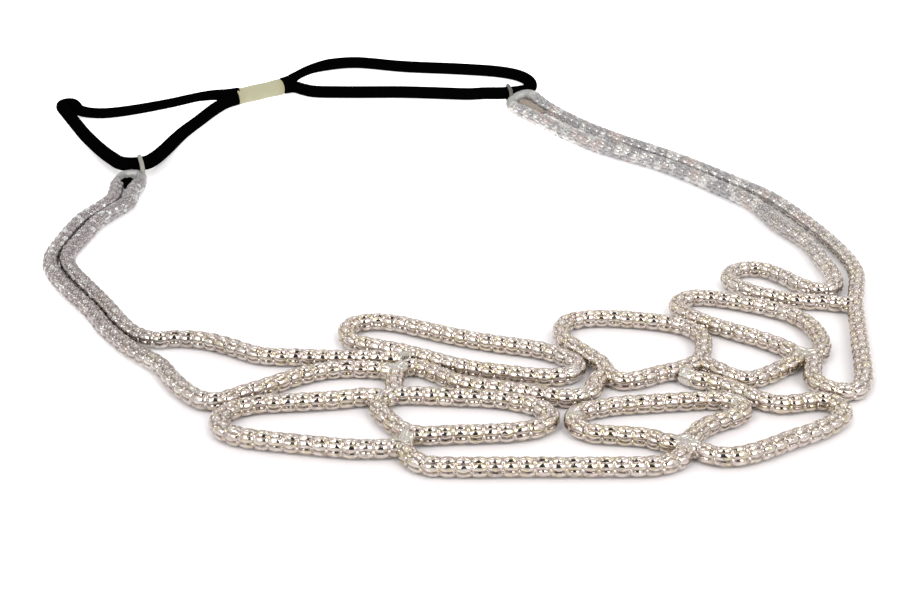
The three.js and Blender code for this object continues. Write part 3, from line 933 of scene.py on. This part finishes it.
@dataclass
class PopcornChain:
    """One length of popcorn chain along its route, in place of the tube of one node."""

    node: str
    route: Route
    seed: int
    eye_at: Optional[float] = None
    sizes: LinkSizes = LinkSizes()
    turn: float = 30.0
    end_shade: float = 0.35

    def build(self, material: bpy.types.Material) -> bpy.types.Object:
        """Make the chain's mesh and put it in place of its tube.

        Args:
            material: the chain's metal.

        Returns:
            The chain's object.
        """
        grid, *looks = self._surface()
        mesh = grid_mesh(self.node.replace("chain", "popcorn"), grid, self.route.lie)
        for name, shares in zip((SEAM_SHADE, SMOOTH), looks):
            values = np.ones(len(mesh.vertices), np.float32)
            values[: shares.size] = shares.reshape(-1)
            mesh.attributes.new(name, "FLOAT", "POINT").data.foreach_set("value", values)
        piece = place_piece(mesh, material)
        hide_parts(self.node)
        return piece

    def _count(self) -> int:
        """Count the links, which are even on a loop so that the zigzag closes.

        Returns:
            The number of links.
        """
        count = round(self.route.length / self.sizes.pitch)
        if self.route.lie is Lie.CLOSED:
            count += count % 2
        return count

    def _surface(self) -> tuple[np.ndarray, np.ndarray, np.ndarray]:
        """Lay out the domes round the route.

        Returns:
            Rings of points in millimetres, shaped (rings, sides, 3), how far each is in a groove
            between domes, which the metal darkens with painted shade, and how smooth the chain is
            there.
        """
        sizes = self.sizes
        count = self._count()
        pitch = self.route.length / count
        off, along = self._rows(count, pitch)
        half = np.pi / sizes.domes
        aside = np.sin(np.linspace(-np.pi / 2, np.pi / 2, sizes.columns + 1))[:-1] * half
        angles = (2 * half * np.arange(sizes.domes)[:, None] + aside).reshape(-1)
        height, seam_shades = self._link(off, np.tile(aside, sizes.domes), pitch)
        height = self._swollen(height, count)
        turned = angles[None, :] + self._turns(along)[:, None]
        places, level, upright = self.route.frames(along)
        soldered, drawn = self._smoothed(along, places)
        grown = sizes.stout * ease(places[:, 1:2] + TABLE_MIDDLE[1], *sizes.stout_reach)
        places = places + sizes.out * grown * UP
        height *= 1.0 + grown
        height += soldered * (sizes.solder - height)
        height += drawn * (sizes.wire - height)
        smooth = np.broadcast_to(np.maximum(soldered, drawn), height.shape)
        grid = places[:, None] + height[:, :, None] * ways_out(turned, level, upright)
        return grid, seam_shades * (1.0 - smooth), smooth

    def _rows(self, count: int, pitch: float) -> tuple[np.ndarray, np.ndarray]:
        """Space the rows of points along the chain, closest at the links' ends.

        Args:
            count: the number of links.
            pitch: their spacing.

        Returns:
            Each row's distance from the middle of its link, and its distance along the route.
        """
        ends = np.sin(np.linspace(-np.pi / 2, np.pi / 2, self.sizes.cuts + 1))[:-1]
        off = np.tile(ends * pitch / 2, count)
        along = (np.repeat(np.arange(count), self.sizes.cuts) + 0.5) * pitch + off
        if self.route.lie is Lie.OPEN:
            off, along = np.append(off, pitch / 2), np.append(along, self.route.length)
        return off, along

    def _swollen(self, height: np.ndarray, count: int) -> np.ndarray:
        """Make some domes a little higher than others, and draw in the ends of an open length.

        Args:
            height: heights of even links, shaped (rows, columns).
            count: the number of links.

        Returns:
            The new heights.
        """
        sizes = self.sizes
        draw = np.random.default_rng(self.seed)
        swell = 1.0 + sizes.spread * draw.uniform(-1.0, 1.0, (count, sizes.domes))
        swell = np.repeat(np.repeat(swell, sizes.cuts, axis=0), sizes.columns, axis=1)
        height[: len(swell)] = sizes.core + (height[: len(swell)] - sizes.core) * swell
        if self.route.lie is Lie.OPEN:
            height[[0, -1]] *= sizes.tip
        return height

    def _smoothed(self, along: np.ndarray, places: np.ndarray) -> tuple[np.ndarray, np.ndarray]:
        """Give how far the chain is smoothed by solder, and drawn in to the wire of a strap's eye.

        Args:
            along: distances along the route.
            places: the points there.

        Returns:
            The two shares, as columns.
        """
        tacks = np.array(TACKS) - TABLE_MIDDLE[:2]
        near = np.linalg.norm(places[:, None, :2] - tacks, axis=2).min(axis=1)
        soldered = self.sizes.solder_share * ease(near, *self.sizes.solder_reach)
        if self.eye_at is None:
            return soldered[:, None], np.zeros((len(along), 1))
        from_eye = np.abs(along - self.eye_at * self.route.length)
        return soldered[:, None], ease(from_eye, *self.sizes.wire_reach)[:, None]

    def _turns(self, along: np.ndarray) -> np.ndarray:
        """Turn the links in a zigzag from one to the next, with a slow sway.

        Args:
            along: distances along the route.

        Returns:
            One angle in radians for each distance.
        """
        sizes = self.sizes
        count = self._count()
        waves = max(1, round(self.route.length / sizes.sway_length))
        share = along / self.route.length
        slow = sizes.sway * np.sin(2 * np.pi * (waves * share + self.seed * sizes.sway_shift))
        draw = np.random.default_rng(self.seed)
        jitter = draw.uniform(-sizes.jitter, sizes.jitter, count)
        each = sizes.zigzag * (-1.0) ** np.arange(count) + jitter
        wrapped = np.concatenate([each[-1:], each, each[:1]])
        quick = np.interp(share * count - 0.5, np.arange(-1, count + 1), wrapped)
        return np.radians(self.turn + slow + quick)

    def _link(self, off: np.ndarray, aside: np.ndarray, pitch: float) -> tuple[np.ndarray, np.ndarray]:
        """Give the height of the links' surface over the centre-line.

        Args:
            off: each row's distance from the middle of its link.
            aside: each column's angle from the middle of its dome.
            pitch: the links' spacing.

        Returns:
            Heights and the share of painted shade in the grooves, both shaped (rows, columns).
        """
        sizes = self.sizes
        inward = sizes.out - sizes.crosswise
        chord = np.sqrt(sizes.crosswise**2 - (inward * np.sin(aside)) ** 2)
        crown = inward * np.cos(aside) + chord
        drop = sizes.lengthwise - np.sqrt(sizes.lengthwise**2 - off**2)
        half = np.pi / sizes.domes * (1.0 - sizes.taper * (2.0 * off / pitch) ** 2)
        to_end = (pitch / 2 - np.abs(off))[:, None] / sizes.groove_width
        from_side = sizes.out * (half[:, None] - np.abs(aside)[None, :])
        to_side = np.maximum(from_side, 0.0) / sizes.groove_width
        end, side = np.exp(-(to_end**2)), np.exp(-(to_side**2))
        dome = crown[None, :] - drop[:, None] - sizes.end_groove * end - sizes.side_groove * side
        from_corner = sizes.out * (np.pi / sizes.domes - np.abs(aside))
        inside = sizes.bead**2 - (pitch / 2 - np.abs(off))[:, None] ** 2 - from_corner[None, :] ** 2
        rise = np.sqrt(np.maximum(inside, 0.0))
        bead = np.where(inside > 0.0, sizes.bead_out - sizes.bead + rise, 0.0)
        # Share of painted shade in the grooves, none where a bead stands higher
        seam_shade = np.where(bead > dome, 0.0, np.maximum(self.end_shade * end, side))
        return np.maximum(np.maximum(dome, bead), sizes.core), seam_shade


@dataclass
class Strap:
    """The doubled chain of one strap, from the front round the eye at its back and forward again."""

    side: str
    rows: Sequence[tuple[float, float, float, float]]
    hand: int
    inner_front: Sequence[tuple[float, float]]
    outer_front: Sequence[tuple[float, float]]
    links: LinkSizes
    tilt: float = 0.0

    def routes(self) -> dict[str, Route]:
        """Lay out the strands, which meet at the back of the eye.

        Returns:
            The routes of the inner and the outer strand, by name.
        """
        turn = self._eye_turn()
        turn = turn if self.hand == 1 else turn[::-1]
        half = TURN_POINTS // 2 + 1
        inner = [*on_table(self.inner_front), *self._strand(self.hand)[::-1], *turn[:half]]
        outer = [*turn[half - 1 :], *self._strand(-self.hand), *on_table(self.outer_front)]
        return {"inner": Route(inner), "outer": Route(outer)}

    def _backward(self) -> np.ndarray:
        """Give the way from the strap's second row to its first."""
        way = np.subtract(self.rows[0][:2], self.rows[1][:2])
        return way / np.linalg.norm(way)

    def _strand(self, hand: int) -> list[tuple[float, float, float]]:
        """Lay out one strand.

        Args:
            hand: 1 for the right of the way to the front, -1 for the left.

        Returns:
            Points from the eye to the front.
        """
        points = []
        last = len(self.rows) - 1
        for k, (x, y, apart, lift) in enumerate(self.rows):
            before, after = self.rows[max(k - 1, 0)], self.rows[min(k + 1, last)]
            way = np.subtract(after[:2], before[:2])
            way = way / np.linalg.norm(way)
            out = hand * apart / 2
            points.append((x + out * way[1], y - out * way[0], self._height(lift, hand)))
        return points

    def _height(self, lift: float, hand: float) -> float:
        """Give the height of a strand, of which the outer one rises more where the eye is tilted."""
        return CHAIN_Z + RING_LIFT * lift * (1.0 - self.tilt * hand * self.hand)

    def _eye_turn(self) -> list[tuple[float, float, float]]:
        """Lay out the turn round the eye.

        Returns:
            Points from the right strand to the left one.
        """
        x, y, apart, lift = self.rows[0]
        back = self._backward()
        points = []
        for k in range(TURN_POINTS):
            angle = math.pi * (k + 1) / (TURN_POINTS + 1)
            along, across = apart / 2 * math.sin(angle), apart / 2 * math.cos(angle)
            turn_x = x + along * back[0] - across * back[1]
            turn_y = y + along * back[1] + across * back[0]
            points.append((turn_x, turn_y, self._height(lift, math.cos(angle))))
        return points


@dataclass
class ElasticLoop:
    """One loop of round elastic, from the sleeve round a ring and back into the sleeve."""

    side: str
    points: Sequence[tuple[float, float, float]]
    stretch: Sequence[tuple[float, float]]
    width: float = 3.2
    step: float = 0.35
    sides: int = 32
    strands: int = 8
    lay_length: float = 7.0
    relief: float = 0.07

    def build(self, material: bpy.types.Material) -> bpy.types.Object:
        """Args:
            material: the black braid.

        Returns:
            The loop's object.
        """
        route = Route(self.points)
        along = np.linspace(0.0, route.length, round(route.length / self.step) + 1)
        angles = full_turn(self.sides)
        places, level, upright = route.frames(along)
        thinned = np.interp(along / route.length, *np.transpose(self.stretch))
        radius = self._radius(along, angles) * thinned[:, None]
        grid = places[:, None] + radius[:, :, None] * ways_out(angles, level, upright)
        mesh = grid_mesh(f"elastic_loop_{self.side}", grid, Lie.OPEN)
        piece = place_piece(mesh, material)
        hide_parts(f"elastic_{self.side}")
        return piece

    def _radius(self, along: np.ndarray, angles: np.ndarray) -> np.ndarray:
        """Wind the strands of the braid both ways, over and under each other.

        Args:
            along: distances along the cord.
            angles: angles round it.

        Returns:
            The braid's radii, shaped (distances, angles).
        """
        wind = 2 * np.pi * along[:, None] / self.lay_length
        right = np.cos(self.strands * (angles[None, :] + wind) / 2)
        left = np.cos(self.strands * (angles[None, :] - wind) / 2)
        woven = np.maximum(np.abs(right), np.abs(left))
        return self.width / 2 - self.relief * (1.0 - woven)


@dataclass
class Sleeve:
    """The short sleeve that holds the four strands of elastic."""

    middle: tuple[float, float, float] = (-50.75, 84.2, 2.06)
    turn_deg: float = 38.7
    width: float = 4.2
    length: float = 13.8
    wall: float = 0.45
    mouth: float = 0.5
    rim: float = 0.22
    plug: float = 0.3
    rim_rows: int = 9
    body_rows: int = 25
    sides: int = 48
    waist: float = 0.06
    ripple: float = 0.05
    ripple_turn: float = 0.9

    def finish(self) -> CreamSleeve:
        """Give the sleeve's finish, which follows its length.

        Returns:
            The finish, with the sleeve's place in metres.
        """
        middle = (np.array(self.middle) - TABLE_MIDDLE) * MM
        way = heading(self.turn_deg)
        return CreamSleeve("cream_sleeve", tuple(middle), tuple(way), self.length / 2 * MM)

    def build(self) -> bpy.types.Object:
        """Make the sleeve with rolled rims and shallow mouths.

        Returns:
            The sleeve's object.
        """
        along, radii = self._profile()
        angles = full_turn(self.sides)
        way = heading(self.turn_deg)
        wave = self.ripple * np.sin(2 * angles[None, :] + self.ripple_turn * along[:, None])
        wave *= radii[:, None] > self.width / 2 - self.wall
        centre = np.array(self.middle) - TABLE_MIDDLE + along[:, None] * way
        out = ways_out(angles, np.cross(UP, way), UP)
        grid = centre[:, None] + (radii[:, None] + wave)[:, :, None] * out
        mesh = grid_mesh("elastic_sleeve", grid, Lie.OPEN)
        piece = place_piece(mesh, self.finish().material())
        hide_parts("sleeve")
        return piece

    def _profile(self) -> tuple[np.ndarray, np.ndarray]:
        """Give the sleeve's outline, from the middle of one mouth over the outside to the other.

        Returns:
            Distances along the sleeve, and radii.
        """
        half, radius = self.length / 2, self.width / 2
        bend = np.radians(np.linspace(180.0, 0.0, self.rim_rows))
        rim_along = half - self.rim + self.rim * np.sin(bend)
        rim_radius = radius - self.rim + self.rim * np.cos(bend)
        inner = radius - 2 * self.rim
        end_along = np.concatenate([[half - self.mouth, half - self.mouth], rim_along])
        end_radius = np.concatenate([[inner * self.plug, inner], rim_radius])
        body = np.linspace(-half + 2 * self.rim, half - 2 * self.rim, self.body_rows)
        waist = radius - self.waist * np.cos(np.pi * body / self.length) ** 2
        along = np.concatenate([-end_along, body, end_along[::-1]])
        radii = np.concatenate([end_radius, waist, end_radius[::-1]])
        return along, radii


@dataclass
class EndRing:
    """The upright wire ring that holds a strap's eye and the elastic side by side."""

    side: str
    middle: tuple[float, float, float]
    heading_deg: float
    reach: float
    finish: PaleWire
    clear: float = 1.85
    wire: float = 1.0
    steps: int = 72
    sides: int = 16

    def build(self) -> bpy.types.Object:
        """Make the ring.

        Returns:
            The ring's object.
        """
        middle = np.array(self.middle) - TABLE_MIDDLE
        back = heading(self.heading_deg)
        across = np.cross(UP, back)
        places, ways = self._line()
        line = middle + places[:, :1] * back + places[:, 1:] * UP
        outward = ways[:, 1:] * back - ways[:, :1] * UP
        grid = line[:, None] + self.wire / 2 * ways_out(full_turn(self.sides), outward, across)
        mesh = grid_mesh(f"wire_ring_{self.side}", grid, Lie.CLOSED)
        piece = place_piece(mesh, self.finish.material())
        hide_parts(f"end_ring_{self.side}")
        return piece

    def _line(self) -> tuple[np.ndarray, np.ndarray]:
        """Lay out the ring's long round, with straight sides and half-circle ends.

        Returns:
            Places and ways along the strap and upright.
        """
        half = self.reach / 2
        arc = math.pi * self.clear
        total = 2 * arc + 2 * self.reach
        places, ways = [], []
        for k in range(self.steps):
            s = total * k / self.steps
            hand = -1.0 if s >= total / 2 else 1.0
            s %= total / 2
            if s < arc:
                angle = s / self.clear - math.pi / 2
                place = (half + self.clear * math.cos(angle), self.clear * math.sin(angle))
                way = (-math.sin(angle), math.cos(angle))
            else:
                place, way = (half - (s - arc), self.clear), (-1.0, 0.0)
            places.append(hand * np.array(place))
            ways.append(hand * np.array(way))
        return np.array(places), np.array(ways)


@dataclass
class Knot:
    """The small knot in a strap's eye: a few turns of thread round an oval core."""

    side: str
    middle: tuple[float, float, float]
    heading_deg: float
    length: float
    width: float
    height: float
    finish: ElasticBraid
    turns: float = 5.0
    relief: float = 0.12
    fullness: float = 0.7
    end: float = 0.04
    rows: int = 49
    sides: int = 24

    def build(self) -> bpy.types.Object:
        """Make the knot.

        Returns:
            The knot's object.
        """
        way = heading(self.heading_deg)
        share = np.linspace(self.end, 1.0 - self.end, self.rows)
        angles = full_turn(self.sides)
        along = -np.cos(np.pi * share) * self.length / 2
        wound = np.cos(2 * np.pi * self.turns * share[:, None] + angles[None, :])
        bulge = np.sin(np.pi * share)[:, None] ** self.fullness
        bulge = bulge * (1.0 - self.relief * (0.5 - 0.5 * wound))
        out = ways_out(angles, self.width * np.cross(UP, way), self.height * UP)
        centre = np.array(self.middle) - TABLE_MIDDLE + along[:, None] * way
        grid = centre[:, None] + bulge[:, :, None] * out / 2
        mesh = grid_mesh(f"thread_knot_{self.side}", grid, Lie.OPEN)
        piece = place_piece(mesh, self.finish.material())
        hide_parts(f"knot_{self.side}")
        return piece


@dataclass
class Studio:
    """The table, the soft light and the camera."""

    camera_at: tuple[float, float, float] = (0.0, -247.5, 110.91)
    look_down_deg: float = 27.266
    lens: float = 52.0
    sensor: float = 36.0
    nearest: float = 0.01
    table_size: float = 6.0
    sky: Colour = (0.90, 0.885, 0.885, 1.0)
    panel: Colour = (5.2, 5.1, 5.0, 1.0)
    dusk: Colour = (0.012, 0.011, 0.012, 1.0)
    panel_side_deg: float = 38.0
    panel_rise_deg: tuple[float, float] = (30.0, 74.0)
    gap_rise_deg: tuple[float, float] = (18.0, 90.0)
    gap_half_deg: float = 19.0
    soft_deg: float = 2.5
    lamps_deg: Sequence[tuple[float, float]] = (
        (12.0, 134.0), (34.0, 108.0), (58.0, 62.0), (40.0, 160.0),
    )
    lamp_radius_deg: float = 6.0
    lamp_core: float = 0.6

    def camera(self) -> bpy.types.Object:
        """Make the camera at the height and slant from which the headband is seen.

        Returns:
            The camera's object.
        """
        data = bpy.data.cameras.new("camera")
        data.lens = self.lens
        data.sensor_width = self.sensor
        data.clip_start = self.nearest
        camera = bpy.data.objects.new("camera", data)
        bpy.context.scene.collection.objects.link(camera)
        camera.location = Vector((np.array(self.camera_at) - TABLE_MIDDLE) * MM)
        camera.rotation_euler = (math.radians(90.0 - self.look_down_deg), 0.0, 0.0)
        bpy.context.scene.camera = camera
        return camera

    def table(self) -> bpy.types.Object:
        """Make the white table.

        Returns:
            The table's object.
        """
        half = self.table_size / 2
        mesh = bpy.data.meshes.new("table_top")
        corners = [(-half, -half, 0.0), (half, -half, 0.0), (half, half, 0.0), (-half, half, 0.0)]
        mesh.from_pydata(corners, [], [(0, 1, 2, 3)])
        mesh.materials.append(TableTop("table_white").material())
        top = bpy.data.objects.new("table_top", mesh)
        bpy.context.scene.collection.objects.link(top)
        return top

    def surround(self) -> bpy.types.World:
        """Make the pale surround, with two bright panels that lean together over a dark gap, and lamps.

        Returns:
            The scene's world.
        """
        world = bpy.data.worlds.new("surround")
        bpy.context.scene.world = world
        world.use_nodes = True
        graph = Graph(world.node_tree)
        way = graph.node("ShaderNodeTexCoord", output="Generated")
        split = graph.node("ShaderNodeSeparateXYZ", sockets={0: way})
        front = split.other("Y") * -1.0
        side = graph.node("ShaderNodeMath", {"operation": "ARCSINE"}, {0: split})
        side = graph.node("ShaderNodeMath", {"operation": "ABSOLUTE"}, {0: side}) * math.degrees(1.0)
        rise = graph.node("ShaderNodeMath", {"operation": "ARCTAN2"}, {0: split.other("Z"), 1: front})
        rise = rise * math.degrees(1.0)
        soft = self.soft_deg
        low, high = self.panel_rise_deg
        panel = graph.step(self.panel_side_deg - side, -2 * soft, 2 * soft)
        panel = panel * graph.step(rise, low - soft, low + soft) * graph.step(high - rise, -soft, soft)
        low, high = self.gap_rise_deg
        share = (high - rise) * (1.0 / (high - low))
        half = graph.node("ShaderNodeMath", {"operation": "SQRT"}, {0: share}) * self.gap_half_deg
        gap = graph.step(half - side, -soft, soft) * graph.step(rise, low - soft, low + soft)
        rim, core = self.lamp_radius_deg**2, (self.lamp_core * self.lamp_radius_deg) ** 2
        for lamp_side, lamp_rise in self.lamps_deg:
            aside, above = side - lamp_side, rise - lamp_rise
            panel = panel + graph.step(aside * aside + above * above, rim, core)
        light = graph.mix(gap, graph.mix(panel, self.sky, self.panel), self.dusk)
        background = graph.node("ShaderNodeBackground", sockets={"Color": light, "Strength": 1.0})
        graph.node("ShaderNodeOutputWorld", sockets={"Surface": background})
        return world


STRAPS = (
    Strap("left", STRAP_LEFT, -1, LEFT_FRONT_INNER, LEFT_FRONT_OUTER, LinkSizes(stout=0.06)),
    Strap(
        side="right",
        rows=STRAP_RIGHT,
        hand=1,
        inner_front=RIGHT_FRONT_INNER,
        outer_front=RIGHT_FRONT_OUTER,
        links=LinkSizes(stout=0.11, wire=1.5),
        tilt=0.9,
    ),
)
ELASTIC_LOOPS = (
    ElasticLoop("left", ELASTIC_LEFT, STRETCH_LEFT),
    ElasticLoop("right", ELASTIC_RIGHT, STRETCH_RIGHT),
)
RINGS = (
    EndRing("left", (-69.9, 28.0, 2.7), heading_deg=108.0, reach=3.7, finish=PaleWire("pale_wire")),
    # The right ring is a darker copy of the pale wire: painted shade, as it lies in shade between the
    # strands
    EndRing(
        side="right",
        middle=(15.5, 79.8, 2.7),
        heading_deg=97.0,
        reach=3.4,
        finish=PaleWire("shaded_wire", colour=(0.15, 0.145, 0.125, 1.0), shade=(0.09, 0.09, 0.08, 1.0)),
    ),
)
KNOTS = (
    Knot(
        side="left",
        middle=(-72.0, 20.3, 1.9),
        heading_deg=56.0,
        length=5.0,
        width=2.7,
        height=2.4,
        finish=ElasticBraid("black_thread"),
    ),
    # The right knot is long and brown to fill the gap between the strands: partly the knot's thread,
    # partly painted shadow between the strands
    Knot(
        side="right",
        middle=(21.0, 72.2, 2.0),
        heading_deg=120.0,
        length=11.0,
        width=4.6,
        height=2.6,
        finish=ElasticBraid(
            "brown_thread_and_shadow", colour=(0.24, 0.205, 0.175, 1.0), lint=(0.50, 0.43, 0.385, 1.0)
        ),
    ),
)
EYE_AT = {"inner": 1.0, "outer": 0.0}
FIRST_SEED = 11


def chains() -> list[PopcornChain]:
    """List the headband's lengths of chain.

    Returns:
        The strands of the straps, the closed loops and the open lengths.
    """
    lengths = [
        (f"chain_{strap.side}_{strand}", route, EYE_AT[strand], strap.links)
        for strap in STRAPS
        for strand, route in strap.routes().items()
    ]
    for lie, front in ((Lie.CLOSED, LOOPS), (Lie.OPEN, OPEN_CHAINS)):
        for node, points in front.items():
            lengths.append((node, Route(on_table(points), lie), None, LinkSizes()))
    return [
        PopcornChain(node, route, FIRST_SEED + k, eye_at, links)
        for k, (node, route, eye_at, links) in enumerate(lengths)
    ]


def main() -> None:
    """Build the camera, the cords and every other piece, then the table and the light."""
    logging.basicConfig(level=logging.INFO, format="%(name)s: %(message)s")
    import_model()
    studio = Studio()
    studio.camera()
    black = ElasticBraid("black_braid").material()
    for loop in ELASTIC_LOOPS:
        LOG.info("%s laid", loop.build(black).name)
    metal = ChainMetal("champagne_silver").material()
    for chain in chains():
        piece = chain.build(metal)
        LOG.info("%s: %d faces", piece.name, len(piece.data.polygons))
    for small in (*RINGS, *KNOTS, Sleeve()):
        LOG.info("%s placed", small.build().name)
    studio.table()
    studio.surround()
    bpy.context.scene.view_settings.view_transform = "Standard"


if __name__ == "__main__":
    main()
